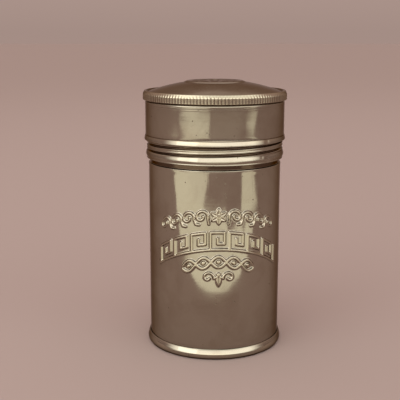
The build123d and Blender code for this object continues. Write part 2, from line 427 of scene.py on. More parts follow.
def running_scroll(u, z):
    """Four scrolls on each side of a six-petalled rosette."""
    mirrored = np.abs(u)
    shapes = []
    for i in range(4):
        middle = 4.75 + SCROLL_PITCH * i
        path = [(middle - 3.2, -2.05), (middle - 2.3, -1.75)] if i else [(middle - 2.1, -2.0)]
        path += curl((middle, 0.15), 1.95, 0.5, 200, -200)
        shapes.append(stroke(mirrored, z, path, 0.78))
    shapes += [leaf(u, z, (0, 0), i * math.pi / 3, 2.5, 1.6) for i in range(6)]
    shapes.append(berry(u, z, (0, 0), 0.85))
    return np.maximum.reduce(shapes)


def greek_key(u, z):
    """Seven turns of a meander on one running line."""
    half = KEY_TURNS * KEY_PITCH / 2
    along = (u + half) % KEY_PITCH
    path = [(0.4, -KEY_HEIGHT), (0.4, KEY_HEIGHT), (4.2, KEY_HEIGHT)]
    path += [(4.2, -0.75), (2.35, -0.75), (2.35, 0.8)]
    foot = stroke(along, z, [(-1, -KEY_HEIGHT), (KEY_PITCH + 1, -KEY_HEIGHT)], KEY_LINE)
    turns = np.maximum(stroke(along, z, path, KEY_LINE), foot)
    end = stroke(u, z, [(half + 0.4, -KEY_HEIGHT), (half + 0.4, KEY_HEIGHT)], KEY_LINE)
    inside = smooth_step((half + 0.4 - np.abs(u - 0.2)) / 0.3 + 0.5)
    return np.maximum(turns * inside, end)


def guilloche(u, z):
    """Two strands that cross, with a bead in each eye."""
    wave = math.pi / EYE_PITCH
    steep = np.hypot(1, STRAND_SWING * wave * np.sin(u * wave))
    within = smooth_step((2.5 * EYE_PITCH + 0.1 - np.abs(u)) / 0.4)
    shapes = []
    for swing in (STRAND_SWING, -STRAND_SWING):
        away = np.abs(z - swing * np.cos(u * wave)) / steep
        shapes.append(smooth_step((0.46 - away) / FLANK + 0.25) * within)
    shapes += [berry(u, z, (EYE_PITCH * i, 0), 0.68) for i in range(-2, 3)]
    return np.maximum.reduce(shapes)


def pendant(u, z):
    """A hanging leaf between two small scrolls."""
    mirrored = np.abs(u)
    shapes = [leaf(u, z, (0, 0.9), math.pi, 3.6, 1.7), berry(u, z, (0, 0.9), 0.7)]
    shapes.append(stroke(mirrored, z, [(0.6, 0.3)] + curl((2.9, 0.1), 1.7, 0.45, 190, -150), 0.72))
    return np.maximum.reduce(shapes)


tube = run((BODY_RADIUS, TUBE_BOTTOM), (BODY_RADIUS, ORNAMENT_BOTTOM), 1.6)
tube += run((BODY_RADIUS, ORNAMENT_BOTTOM), (BODY_RADIUS, ORNAMENT_TOP), 0.165)
tube += run((BODY_RADIUS, ORNAMENT_TOP), (BODY_RADIUS, SHOULDER), 0.8)
tube += bend((BODY_RADIUS - SHOULDER_BEND, SHOULDER), SHOULDER_BEND, 0, 90, 6)
tube += bend((NECK_RADIUS + SHOULDER_BEND, SHOULDER + 2 * SHOULDER_BEND), SHOULDER_BEND, 270, 180, 6)[1:]
tube += run((NECK_RADIUS, SHOULDER + 0.7), (NECK_RADIUS, THREAD_BOTTOM), 0.6)
tube += run((NECK_RADIUS, THREAD_BOTTOM), (NECK_RADIUS, THREAD_TOP), 0.13)
tube += run((NECK_RADIUS, THREAD_TOP), (NECK_RADIUS, MOUTH - SHEET / 2), 1.5)
tube += bend((NECK_RADIUS - SHEET / 2, MOUTH - SHEET / 2), SHEET / 2, 0, 180, 8)
tube += run((NECK_INSIDE, MOUTH - 1), (NECK_INSIDE, THREAD_TOP), 2.0)
tube += run((NECK_INSIDE, THREAD_TOP), (NECK_INSIDE, THREAD_BOTTOM), 0.26)
tube += [(NECK_INSIDE, SHOULDER + 0.7), (BODY_INSIDE - 0.1, SHOULDER + 0.2), (BODY_INSIDE, SHOULDER - 0.1)]
tube += run((BODY_INSIDE, SHOULDER - 2.3), (BODY_INSIDE, TUBE_BOTTOM), 4.0)
tube += [(BODY_INSIDE, TUBE_BOTTOM)]
sectors = [(2 * FRONT_SPREAD, 250), (2 * math.pi - 2 * FRONT_SPREAD, 60)]
body_tube = spin_section("body_tube_shell", tube, sectors, FRONT - FRONT_SPREAD)
r, a, z = vertex_places(body_tube)
u = BODY_RADIUS * ((a - FRONT + math.pi) % (2 * math.pi) - math.pi)
outside = (r > BODY_RADIUS - 0.01) & (z > 3)
raised = np.zeros_like(r)
for ornament, level, drop in (
    (running_scroll, 41.1, 1.25),
    (greek_key, 34.3, 1.7),
    (guilloche, 28.4, 2.2),
    (pendant, 23.9, 0),
):
    across = u - ORNAMENT_SHIFT
    raised = np.maximum(raised, ornament(across, z - level + drop * (across / 10) ** 2) * outside)
on_neck = (z > THREAD_BOTTOM - 0.6) & (z < THREAD_TOP + 0.8)
ridge = thread_line(a, z, THREAD_MIDDLE - THREAD_PITCH / 2, RIDGE_WIDTH, RIDGE_SLOPE) * on_neck
dents = 0.018 * np.sin(3 * a + 0.12 * z) + 0.014 * np.sin(5 * a - 0.21 * z + 1.3)
dents += 0.005 * np.sin(23 * a + 0.55 * z) * np.sin(11 * a - 0.4 * z + 0.7)
for across, up, wide, deep in BODY_DENTS:
    dents -= dent(u - across, z - up, wide, deep)
dents = (dents - 0.032) * (z > 4) * (z < SHOULDER - 0.5) * (r > NECK_RADIUS + 0.1)
move_vertices(body_tube, r + RELIEF * raised + THREAD_DEPTH * ridge + dents, a, z)
# Darkened along the flanks of the ornament, partly tarnish in its corners and partly painted shade; just
# above the bead; on the inside; and on the neck between the shoulder and the thread, a painted shadow for
# the dark gap under the cap's lip.
flank = 4 * raised * (1 - raised)
by_bead = smooth_step((BEAD_TOP + 0.3 - z) / 0.3)
shadow_under_cap = 1.0 * ((z > SHOULDER + 0.35) & (z < THREAD_BOTTOM + 0.4))
inner = 0.5 * (r < BODY_RADIUS - 0.2) * (z < SHOULDER)
paint(body_tube, "grime_and_shade", np.maximum.reduce([0.7 * flank, 0.5 * by_bead, 0.3 * ridge, inner, shadow_under_cap]))
rubbed = 0.22 * smooth_step((raised - 0.8) / 0.2) + 0.3 * smooth_step((ridge - 0.7) / 0.3)
paint(body_tube, "wear", rubbed)
body_tube.data.materials.append(nickel_plate("tube_nickel"))
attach(body_tube, "container")
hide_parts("body_tube")

# ---------------------------------------------------------------------------------------------
# Soap stick. Milled and pressed hard shaving soap, a round bar that stands on the base plate. Its
# head is worn to a lopsided dome by use, with dried lather in the hollows.
# ---------------------------------------------------------------------------------------------
soap_low, soap_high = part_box("soap_stick")
SOAP_RADIUS = soap_high.x / MM
SOAP_BOTTOM = soap_low.z / MM
SOAP_TOP = soap_high.z / MM
SOAP_SHOULDER = 5.0
HEAD_DEPTH = 7.0
SOAP_FOOT = 0.4

soap = [(0, SOAP_BOTTOM)] + run((1.5, SOAP_BOTTOM), (SOAP_RADIUS - SOAP_FOOT, SOAP_BOTTOM), 2.0)
soap += bend((SOAP_RADIUS - SOAP_FOOT, SOAP_BOTTOM + SOAP_FOOT), SOAP_FOOT, 270, 360, 4)
soap += run((SOAP_RADIUS, SOAP_BOTTOM + 1.5), (SOAP_RADIUS, SOAP_TOP - SOAP_SHOULDER), 1.5)
soap += bend((SOAP_RADIUS - SOAP_SHOULDER, SOAP_TOP - SOAP_SHOULDER), SOAP_SHOULDER, 0, 90, 16)
soap += run((SOAP_RADIUS - SOAP_SHOULDER, SOAP_TOP), (0.4, SOAP_TOP), 0.6)[1:] + [(0, SOAP_TOP)]
soap_stick = spin_section("soap_bar", soap, [(2 * math.pi, 144)], closed=False)
r, a, z = vertex_places(soap_stick)
head = smooth_step((z - SOAP_TOP + HEAD_DEPTH) / HEAD_DEPTH)
across = r * np.cos(a)
along = r * np.sin(a)
worn = 0.5 + 0.045 * across + 0.03 * along + 0.0035 * r ** 2
worn += 0.16 * np.sin(0.55 * across + 1.0) * np.sin(0.5 * along)
worn += 0.07 * np.sin(1.5 * across - 0.9 * along)
worn += 0.05 * np.sin(2.3 * along + 0.7 * across + 2.0)
shrink = 0.06 + 0.05 * np.sin(2 * a + 0.1 * z) + 0.03 * np.sin(5 * a + 0.23 * z)
move_vertices(soap_stick, r - shrink * (r > 4), a, z - head * np.maximum(worn, 0))
paint(soap_stick, "lather", head * smooth_step((worn - 0.9) / 0.8))

soap_paste, place = start_material("hard_soap")
marbling = noise(soap_paste, place, 120.0, 4.0, distortion=1.4)
grain = noise(soap_paste, place, 1900.0, 3.0)
pores = add_step(soap_paste, "TexVoronoi", {"Vector": place, "Scale": 900.0}).outputs["Distance"]
pores = spread(soap_paste, pores, 0.2, 0.1)
lather = painted(soap_paste, "lather")
tone = spread(soap_paste, marbling, 0.35, 0.7)
tone = blend_colours(soap_paste, tone, (0.86, 0.79, 0.64), (0.78, 0.69, 0.52))
tone = blend_colours(soap_paste, lather, tone, (0.93, 0.91, 0.86))
tone = blend_colours(soap_paste, calculate(soap_paste, "MULTIPLY", pores, 0.5), tone, (0.5, 0.4, 0.26))
rough = spread(soap_paste, grain, 0.3, 0.7, 0.38, 0.55)
uneven = calculate(soap_paste, "SUBTRACT", grain, calculate(soap_paste, "MULTIPLY", pores, 0.7))
shader = connect(soap_paste, tone, rough, bumps(soap_paste, uneven, 0.5, 0.00008))
shader.inputs["Subsurface Weight"].default_value = 0.25
shader.inputs["Subsurface Radius"].default_value = (0.002, 0.0014, 0.0008)
shader.inputs["Subsurface Scale"].default_value = 1.0
soap_stick.data.materials.append(soap_paste)
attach(soap_stick, "stick")
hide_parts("soap_stick")

# ---------------------------------------------------------------------------------------------
# Foil wrap. A sheet of tin foil rolled round the lower part of the soap and folded in under it. It
# is creased by hand, and its torn upper edge stands a little uneven.
# ---------------------------------------------------------------------------------------------
foil_low, foil_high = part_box("foil_wrap")
FOIL_RADIUS = foil_high.x / MM
FOIL_BOTTOM = foil_low.z / MM
FOIL_TOP = foil_high.z / MM
FOIL = 0.12
FOIL_FOLD = 0.3

foil = [(0, FOIL_BOTTOM)] + run((1.5, FOIL_BOTTOM), (FOIL_RADIUS - FOIL_FOLD, FOIL_BOTTOM), 1.5)
foil += bend((FOIL_RADIUS - FOIL_FOLD, FOIL_BOTTOM + FOIL_FOLD), FOIL_FOLD, 270, 360, 4)
foil += run((FOIL_RADIUS, FOIL_BOTTOM + 0.6), (FOIL_RADIUS, FOIL_TOP), 0.6)
foil += [(FOIL_RADIUS, FOIL_TOP), (FOIL_RADIUS - FOIL / 2, FOIL_TOP), (FOIL_RADIUS - FOIL, FOIL_TOP)]
foil += run((FOIL_RADIUS - FOIL, FOIL_TOP - 0.6), (FOIL_RADIUS - FOIL, FOIL_BOTTOM + FOIL), 3.0)
foil += [(FOIL_RADIUS - FOIL, FOIL_BOTTOM + FOIL), (0, FOIL_BOTTOM + FOIL)]
foil_wrap = spin_section("foil_wrapper", foil, [(2 * math.pi, 200)], closed=False)
r, a, z = vertex_places(foil_wrap)
crease = np.zeros_like(r)
for turns, climb, phase in ((9, 0.5, 0.0), (14, -0.8, 1.1), (23, 1.3, 2.0), (31, -1.9, 0.4), (5, 2.2, 2.9)):
    crease += (0.5 - np.abs(np.sin(turns * a / 2 + climb * z + phase))) / 5
outer_face = r > FOIL_RADIUS - FOIL / 3
torn = 0.5 + 0.35 * np.sin(3 * a) * np.sin(8 * a + 1) + 0.15 * np.sin(29 * a)
at_edge = smooth_step((z - FOIL_TOP + 3) / 3)
r = r - (0.045 - 0.11 * crease) * outer_face * (z > FOIL_BOTTOM + FOIL_FOLD)
move_vertices(foil_wrap, r, a, z - 1.3 * torn * at_edge)

tin, place = start_material("tin_foil")
folds = add_step(tin, "TexVoronoi", {"Vector": place, "Scale": 420.0}, feature="DISTANCE_TO_EDGE")
folds = spread(tin, folds.outputs["Distance"], 0.0, 0.12)
crinkle = noise(tin, place, 700.0, 5.0, distortion=1.0)
dull = noise(tin, place, 130.0, 4.0)
tone = blend_colours(tin, spread(tin, dull, 0.4, 0.75), (0.74, 0.74, 0.73), (0.5, 0.49, 0.47))
rough = spread(tin, crinkle, 0.3, 0.75, 0.2, 0.42)
uneven = calculate(tin, "ADD", calculate(tin, "MULTIPLY", folds, 0.5), crinkle)
shader = connect(tin, tone, rough, bumps(tin, uneven, 0.7, 0.00012))
shader.inputs["Metallic"].default_value = 1.0
foil_wrap.data.materials.append(tin)
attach(foil_wrap, "stick")
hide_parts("foil_wrap")

# ---------------------------------------------------------------------------------------------
# Paper band. A strip of plain cream paper pasted round the foil, with a lap at the back and two
# ruled lines near each edge.
# ---------------------------------------------------------------------------------------------
band_low, band_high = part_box("paper_band")
PAPER_RADIUS = band_high.x / MM
PAPER_BOTTOM = band_low.z / MM
PAPER_TOP = band_high.z / MM
PAPER = 0.2
LAP_START = math.radians(80)
LAP_WIDTH = math.radians(20)

paper = run((PAPER_RADIUS, PAPER_BOTTOM), (PAPER_RADIUS, PAPER_TOP), 0.8)
paper += [(PAPER_RADIUS, PAPER_TOP), (PAPER_RADIUS - PAPER, PAPER_TOP)]
paper += run((PAPER_RADIUS - PAPER, PAPER_TOP - 4), (PAPER_RADIUS - PAPER, PAPER_BOTTOM), 4.0)
paper += [(PAPER_RADIUS - PAPER, PAPER_BOTTOM)]
paper_band = spin_section("paper_label_band", paper, [(2 * math.pi, 240)])
r, a, z = vertex_places(paper_band)
from_lap = (a - LAP_START + math.pi) % (2 * math.pi) - math.pi
lapped = smooth_step(from_lap / math.radians(1.5) + 0.5)
lapped *= smooth_step((LAP_WIDTH - from_lap) / math.radians(18))
edge_wave = 0.12 * np.sin(4 * a + 1) + 0.06 * np.sin(11 * a)
outer_face = r > PAPER_RADIUS - PAPER / 2
r = r - (0.12 - 0.1 * lapped + 0.02 * np.sin(13 * a + 0.3 * z)) * outer_face
middle = (PAPER_BOTTOM + PAPER_TOP) / 2
move_vertices(paper_band, r, a, middle + (z - middle) * (1 - 0.02 * (1 + edge_wave)))

band_stock, place = start_material("band_paper")
height = add_step(band_stock, "SeparateXYZ", {0: place}).outputs["Z"]
from_middle = calculate(band_stock, "ABSOLUTE", calculate(band_stock, "SUBTRACT", height, middle * MM), 0.0)
fibres = noise(band_stock, place, 1500.0, 6.0, roughness=0.7)
foxing = noise(band_stock, place, 210.0, 5.0)
tone = blend_colours(band_stock, spread(band_stock, fibres, 0.3, 0.7), (0.8, 0.72, 0.55), (0.7, 0.61, 0.44))
tone = blend_colours(band_stock, spread(band_stock, foxing, 0.6, 0.78, 0.0, 0.7), tone, (0.45, 0.3, 0.15))
for rule, width in ((14.2, 0.28), (13.3, 0.12)):
    away = calculate(band_stock, "ABSOLUTE", calculate(band_stock, "SUBTRACT", from_middle, rule * MM), 0.0)
    line = spread(band_stock, away, (width + 0.06) * MM, width * MM)
    line = calculate(band_stock, "MULTIPLY", line, spread(band_stock, fibres, 0.3, 0.5, 0.5, 0.9))
    tone = blend_colours(band_stock, line, tone, (0.23, 0.11, 0.07))
rough = spread(band_stock, fibres, 0.3, 0.7, 0.7, 0.9)
shader = connect(band_stock, tone, rough, bumps(band_stock, fibres, 0.4, 0.00005))
shader.inputs["Sheen Weight"].default_value = 0.1
paper_band.data.materials.append(band_stock)
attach(paper_band, "stick")
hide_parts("paper_band")

# ---------------------------------------------------------------------------------------------
# Paper facing. A loose disc cut from waxed card, which keeps the soap off the cork. The mouth of
# the tube has pressed a ring into its underside.
# ---------------------------------------------------------------------------------------------
facing_low, facing_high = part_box("paper_facing")
FACING_RADIUS = facing_high.x / MM
FACING_BOTTOM = facing_low.z / MM
FACING_TOP = facing_high.z / MM
FACING_EDGE = 0.08

facing = [(0, FACING_BOTTOM)] + run((0.8, FACING_BOTTOM), (FACING_RADIUS - FACING_EDGE, FACING_BOTTOM), 0.4)
facing += bend((FACING_RADIUS - FACING_EDGE, FACING_BOTTOM + FACING_EDGE), FACING_EDGE, 270, 360, 3)
facing += bend((FACING_RADIUS - FACING_EDGE, FACING_TOP - FACING_EDGE), FACING_EDGE, 0, 90, 3)
facing += run((FACING_RADIUS - 0.5, FACING_TOP), (0.8, FACING_TOP), 1.2) + [(0, FACING_TOP)]
paper_facing = spin_section("waxed_card_disc", facing, [(2 * math.pi, 160)], closed=False)
r, a, z = vertex_places(paper_facing)
pressed = soft_line(r, NECK_RADIUS - SHEET / 2, 0.28) * (z < FACING_BOTTOM + 0.05)
cockle = 0.02 * np.sin(3 * a + 0.3 * r) * np.sin(0.35 * r) * (r < NECK_RADIUS - 1.5)
move_vertices(paper_facing, r, a, z + 0.05 * pressed + np.abs(cockle) * (z < FACING_BOTTOM + 0.05))
paint(paper_facing, "stain", pressed)

waxed, place = start_material("waxed_card")
fibres = noise(waxed, place, 1300.0, 5.0)
wax = noise(waxed, place, 170.0, 4.0, distortion=0.8)
stain = painted(waxed, "stain")
tone = blend_colours(waxed, spread(waxed, wax, 0.35, 0.7), (0.83, 0.78, 0.65), (0.74, 0.66, 0.49))
tone = blend_colours(waxed, spread(waxed, fibres, 0.5, 0.8, 0.0, 0.4), tone, (0.62, 0.53, 0.38))
tone = blend_colours(waxed, calculate(waxed, "MULTIPLY", stain, 0.75), tone, (0.42, 0.33, 0.2))
rough = spread(waxed, wax, 0.35, 0.7, 0.3, 0.5)
connect(waxed, tone, rough, bumps(waxed, fibres, 0.3, 0.00004))
paper_facing.data.materials.append(waxed)
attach(paper_facing, "facing")
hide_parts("paper_facing")

# ---------------------------------------------------------------------------------------------
# Cork liner. A disc sliced from natural cork, with sanded faces, a broken edge and dark pores. It
# sits loose in the cap, under the flange of the skirt.
# ---------------------------------------------------------------------------------------------
cork_low, cork_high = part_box("cork_liner")
CORK_RADIUS = cork_high.x / MM
CORK_BOTTOM = cork_low.z / MM
CORK_TOP = cork_high.z / MM
CORK_BEVEL = 0.2
CORK_MIDDLE = (CORK_BOTTOM + CORK_TOP) / 2
PORES = 90

cork = [(0, CORK_BOTTOM)] + run((0.6, CORK_BOTTOM), (CORK_RADIUS - CORK_BEVEL, CORK_BOTTOM), 0.35)
cork += run((CORK_RADIUS - CORK_BEVEL, CORK_BOTTOM), (CORK_RADIUS, CORK_BOTTOM + CORK_BEVEL), 0.15)
cork += run((CORK_RADIUS, CORK_BOTTOM + CORK_BEVEL), (CORK_RADIUS, CORK_TOP - CORK_BEVEL), 0.3)
cork += run((CORK_RADIUS, CORK_TOP - CORK_BEVEL), (CORK_RADIUS - CORK_BEVEL, CORK_TOP), 0.15)
cork += run((CORK_RADIUS - CORK_BEVEL, CORK_TOP), (0.9, CORK_TOP), 0.9) + [(0, CORK_TOP)]
cork_liner = spin_section("cork_disc", cork, [(2 * math.pi, 240)], closed=False)
r, a, z = vertex_places(cork_liner)
random = np.random.default_rng(7)
hollow = np.zeros_like(r)
across = r * np.cos(a)
along = r * np.sin(a)
for _ in range(PORES):
    pore_radius = CORK_RADIUS * math.sqrt(random.random())
    pore_angle = random.random() * 2 * math.pi
    long = 0.25 + 0.7 * random.random() ** 2
    x_away = (across - pore_radius * math.cos(pore_angle)) / long
    y_away = (along - pore_radius * math.sin(pore_angle)) / (0.28 + 0.2 * random.random())
    hollow = np.maximum(hollow, np.exp(-(x_away ** 2 + y_away ** 2)))
rough_edge = 0.1 * np.abs(np.sin(17 * a) * np.sin(41 * a + 2)) * (r > CORK_RADIUS - 0.3)
into = 0.22 * hollow * np.sign(CORK_MIDDLE - z) * (np.abs(z - CORK_MIDDLE) > 0.5)
move_vertices(cork_liner, r - rough_edge, a, z + into)
paint(cork_liner, "pore", hollow)

cork_bark, place = start_material("natural_cork")
cells = add_step(cork_bark, "TexVoronoi", {"Vector": place, "Scale": 1400.0}).outputs["Distance"]
bark = noise(cork_bark, place, 330.0, 6.0, roughness=0.65)
growth = add_step(cork_bark, "Mapping", {"Vector": place, "Scale": (60, 900, 60)}).outputs[0]
growth = noise(cork_bark, growth, 1.0, 3.0)
pore = painted(cork_bark, "pore")
tone = blend_colours(cork_bark, spread(cork_bark, bark, 0.35, 0.7), (0.58, 0.4, 0.22), (0.43, 0.27, 0.14))
tone = blend_colours(cork_bark, spread(cork_bark, growth, 0.5, 0.7, 0.0, 0.45), tone, (0.35, 0.2, 0.1))
tone = blend_colours(cork_bark, spread(cork_bark, cells, 0.35, 0.15, 0.0, 0.4), tone, (0.66, 0.48, 0.28))
tone = blend_colours(cork_bark, spread(cork_bark, pore, 0.3, 0.75, 0.0, 0.9), tone, (0.14, 0.07, 0.035))
uneven = calculate(cork_bark, "ADD", calculate(cork_bark, "MULTIPLY", cells, 0.6), bark)
rough = spread(cork_bark, bark, 0.3, 0.7, 0.75, 0.95)
connect(cork_bark, tone, rough, bumps(cork_bark, uneven, 0.6, 0.00012))
cork_liner.data.materials.append(cork_bark)
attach(cork_liner, "liner")
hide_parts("cork_liner")

# ---------------------------------------------------------------------------------------------
# Cap skirt. The drawn brass band of the cap, nickel-plated. From below it has a turned lip, the
# rolled thread, a raised ring, a plain wall with two turned lines, and a snap bead and an inner
# flange, which the rim of the cap top covers.
# ---------------------------------------------------------------------------------------------
skirt_low, skirt_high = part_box("cap_skirt")
LIP_BOTTOM = skirt_low.z / MM
SKIRT_TOP = skirt_high.z / MM
BAND_RADIUS = 19.5
BAND_INSIDE = BAND_RADIUS - SHEET
BAND_TOP = 59.9
LIP_RADIUS = 19.775
LIP_BEND = 0.2
LIP_CREST = LIP_BOTTOM + 1.18
LIP_TOP = 57.35
RING_RADIUS = 20.2
RING_BEND = 0.35
RING_CREST = 61.15
RING_TOP = 61.9
WALL_RADIUS = 19.9
WALL_INSIDE = WALL_RADIUS - SHEET
LINES_START = 69.2
LOWER_LINE = 69.55
UPPER_LINE = 70.15
STEP = 70.65
UNDER_RIM_RADIUS = 19.45
FLANGE_EDGE = 16.6
GROOVE_WIDTH = 0.46
GROOVE_SLOPE = 0.4
CREST_LINE_DEPTH = 0.05
WALL_LINE_DEPTH = 0.025
# A dent is its angle in degrees, its height, its width and its depth.
WALL_DENTS = ((-84, 65.8, 1.3, 0.035), (-112, 68.5, 2.2, 0.02), (40, 66.0, 3.0, 0.05))
EDGE_DENTS = ((-44.5, 60.9, 0.7, 0.14), (-43, 56.2, 0.9, 0.16), (-49, 56.6, 0.5, 0.08))

skirt = bend((BAND_RADIUS - 0.15, LIP_BOTTOM + LIP_BEND), LIP_BEND, 180, 400, 12)
skirt += [(BAND_RADIUS + 0.01, LIP_BOTTOM + 0.42)]
skirt += swell((BAND_RADIUS + 0.03, LIP_BOTTOM + 0.52), (LIP_RADIUS, LIP_CREST), 0.03, 8)
skirt += swell((LIP_RADIUS, LIP_CREST), (BAND_RADIUS + 0.06, LIP_TOP - 0.06), 0.015, 9)
skirt += run((BAND_RADIUS, LIP_TOP), (BAND_RADIUS, BAND_TOP), 0.1)
skirt += bend((RING_RADIUS - RING_BEND, BAND_TOP + 0.4), RING_BEND, 250, 368, 11)[:-1]
skirt += swell((RING_RADIUS, BAND_TOP + 0.45), (WALL_RADIUS + 0.08, RING_TOP - 0.52), 0.015, 10)
skirt += bend((WALL_RADIUS + 0.3, RING_TOP - 0.3), 0.3, 225, 183, 6)
skirt += run((WALL_RADIUS, RING_TOP), (WALL_RADIUS, LINES_START), 0.9)
skirt += run((WALL_RADIUS, LINES_START), (WALL_RADIUS, STEP), 0.09)
skirt += [(WALL_RADIUS, STEP), (WALL_RADIUS - 0.1, STEP + 0.2), (UNDER_RIM_RADIUS, STEP + 0.5)]
skirt += swell((UNDER_RIM_RADIUS, STEP + 0.95), (UNDER_RIM_RADIUS, STEP + 1.75), 0.25, 6)
skirt += bend((UNDER_RIM_RADIUS - 0.35, SKIRT_TOP - 0.35), 0.35, 0, 90, 5)
skirt += run((FLANGE_EDGE + 2.0, SKIRT_TOP), (FLANGE_EDGE - 0.125, SKIRT_TOP), 1.0)
skirt += bend((FLANGE_EDGE, SKIRT_TOP - SHEET / 2), SHEET / 2, 90, 270, 4)
skirt += [(18.9, SKIRT_TOP - SHEET), (UNDER_RIM_RADIUS - SHEET, SKIRT_TOP - SHEET - 0.2)]
skirt += [(UNDER_RIM_RADIUS - SHEET, STEP + 0.5), (WALL_INSIDE, STEP)]
skirt += run((WALL_INSIDE, STEP - 1.0), (WALL_INSIDE, RING_TOP), 2.0)
skirt += swell((WALL_INSIDE, RING_TOP), (BAND_INSIDE, BAND_TOP), 0.5, 8)
skirt += run((BAND_INSIDE, BAND_TOP), (BAND_INSIDE, LIP_TOP), 0.13)
skirt += swell((BAND_INSIDE, LIP_TOP), (BAND_INSIDE - 0.1, LIP_BOTTOM + LIP_BEND), 0.3, 8)
cap_skirt = spin_section("cap_skirt_band", skirt, [(2 * math.pi, 320)])
r, a, z = vertex_places(cap_skirt)
threaded = (z > LIP_TOP - 0.45) & (z < BAND_TOP + 0.5)
outside = r > BAND_RADIUS - SHEET / 2
groove = thread_line(a, z, THREAD_MIDDLE, GROOVE_WIDTH, GROOVE_SLOPE) * threaded * outside
ridge = thread_line(a, z, THREAD_MIDDLE, RIDGE_WIDTH, RIDGE_SLOPE) * threaded * ~outside
between = thread_line(a, z, THREAD_MIDDLE - THREAD_PITCH / 2, 0.2, 0.12) * threaded * outside
between *= z < BAND_TOP - 0.2
lines = 0.3 * soft_line(z, LOWER_LINE, 0.07) + 0.5 * soft_line(z, UPPER_LINE, 0.07)
lines *= r > WALL_RADIUS - 0.05
plain = (r > WALL_RADIUS - 0.05) & (z > RING_TOP)
dents = (0.012 * np.sin(2 * a + 0.5) + 0.01 * np.sin(5 * a + 0.2 * z) - 0.022) * plain
for face, places in ((plain, WALL_DENTS), (outside, EDGE_DENTS)):
    for turn, up, wide, deep in places:
        dents -= dent((a - math.radians(turn)) * WALL_RADIUS, z - up, wide, deep) * face
r = r - THREAD_DEPTH * (groove + ridge) - CREST_LINE_DEPTH * between - WALL_LINE_DEPTH * lines
move_vertices(cap_skirt, r + dents, a, z)
# Darkened in the thread groove, in the creases above the ring and the lip, along the turned lines, on the
# inside and under the rim of the top; the inner edge of the lip's underside is painted shade, for the dark
# gap under the lip.
crease = soft_line(z, RING_TOP - 0.4, 0.16) + soft_line(z, LIP_TOP, 0.12)
dirt_and_shade = [0.9 * groove ** 0.7, 0.85 * crease * outside, 0.3 * lines, 0.55 * ~outside, 0.8 * (z > STEP + 0.3)]
dirt_and_shade.append(smooth_step((LIP_BOTTOM + LIP_BEND - z) / 0.15) * (r < BAND_RADIUS - 0.25))
paint(cap_skirt, "grime_and_shade", np.maximum.reduce(dirt_and_shade))
paint(cap_skirt, "wear", 0.25 * (np.abs(z - RING_CREST) < 0.4) * (0.5 + 0.5 * np.sin(6 * a)) * outside)
cap_skirt.data.materials.append(nickel_plate("cap_nickel"))
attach(cap_skirt, "cap")
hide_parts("cap_skirt")

# ---------------------------------------------------------------------------------------------
# Cap top. A domed disc struck from sheet brass and nickel-plated, with a raised round medallion
# that carries a plain rosette and a small boss. Its rim is turned down, milled with fine upright
# teeth, and closed in under the snap bead of the skirt. The plate is worn off the teeth.
# ---------------------------------------------------------------------------------------------
rim_low, rim_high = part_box("cap_top")
TEETH = 138
COLUMNS = 4 * TEETH
TOOTH_TIP = rim_high.x / MM
TOOTH_HEIGHT = 0.2
RIM_BOTTOM = rim_low.z / MM
RIM_WALL = TOOTH_TIP - TOOTH_HEIGHT
RIM_INSIDE = 19.92
RIM_BEND = 72.9
RIM_TOP = 73.9
RIM_BOW = 0.5
RIM_SLOPE = 0.14
BOSS_TOP = rim_high.z / MM
BOSS_RADIUS = 1.5
BOSS_HEIGHT = 0.24
MEDALLION_RADIUS = 8.8
MEDALLION_FOOT = MEDALLION_RADIUS + 0.4
MEDALLION_EDGE = 8.05
MEDALLION_STEP = 0.42
MEDALLION_CROWN = 0.15
MEDALLION_TOP = BOSS_TOP - 0.4
DOME_TOP = MEDALLION_TOP - MEDALLION_STEP
DOME_EDGE = 19.25
DOME_EDGE_TOP = 73.42
DOME_CROWN = 1.05
# A dent is its angle in degrees, its distance from the axis, its width and its depth.
DOME_DENTS = ((-70, 13.5, 3.0, 0.06), (150, 12.0, 4.0, 0.08), (-130, 15.5, 1.6, 0.035))
PETALS = 12
PETAL_START = 1.9
PETAL_END = 6.9
PETAL_HEIGHT = 0.09
BORDER_RADIUS = 7.75
BORDER_HEIGHT = 0.06
DOME_NICKEL = (0.365, 0.335, 0.285)
DOME_TARNISH = (0.255, 0.21, 0.165)
DOME_GLOSS = 0.13


def dome_line(steps, drop):
    """The dome's section from its edge to the foot of the medallion, or that far below it."""
    points = []
    for i in range(steps + 1):
        t = i / steps
        radius = DOME_EDGE + (MEDALLION_FOOT - DOME_EDGE) * t
        height = DOME_EDGE_TOP + (DOME_TOP - DOME_EDGE_TOP) * t + DOME_CROWN * t * (1 - t)
        points.append((radius, height - drop))
    return points


inside = [(0, MEDALLION_TOP - 0.2), (4.0, MEDALLION_TOP - 0.25)]
inside += [(MEDALLION_RADIUS - 0.2, MEDALLION_TOP - 0.4)]
inside += list(reversed(dome_line(6, SHEET)))
inside += [(19.7, 73.2), (RIM_INSIDE, RIM_BEND), (RIM_INSIDE, 71.6), (19.65, 71.5)]
top = bend((19.72, RIM_BOTTOM + 0.14), 0.13, 90, 250, 4)
top += bend((RIM_WALL - 0.2, RIM_BOTTOM + 0.2), 0.2, -85, 0, 6)
top += run((RIM_WALL, RIM_BOTTOM + 0.25), (RIM_WALL, RIM_BEND), 0.15)
for degrees in range(0, 95, 5):
    rise = math.sin(math.radians(degrees))
    radius = RIM_WALL - RIM_SLOPE * rise - (RIM_BOW - RIM_SLOPE) * rise ** 20
    top.append((radius, RIM_BEND + (RIM_TOP - RIM_BEND) * rise))
top += [(19.5, RIM_TOP - 0.06), (19.38, RIM_TOP - 0.2)]
top += dome_line(34, 0)
for i in range(1, 12):
    rise = 0.5 - 0.5 * math.cos(math.pi * i / 12)
    top.append((MEDALLION_FOOT - 0.1 * i, DOME_TOP + MEDALLION_STEP * rise))
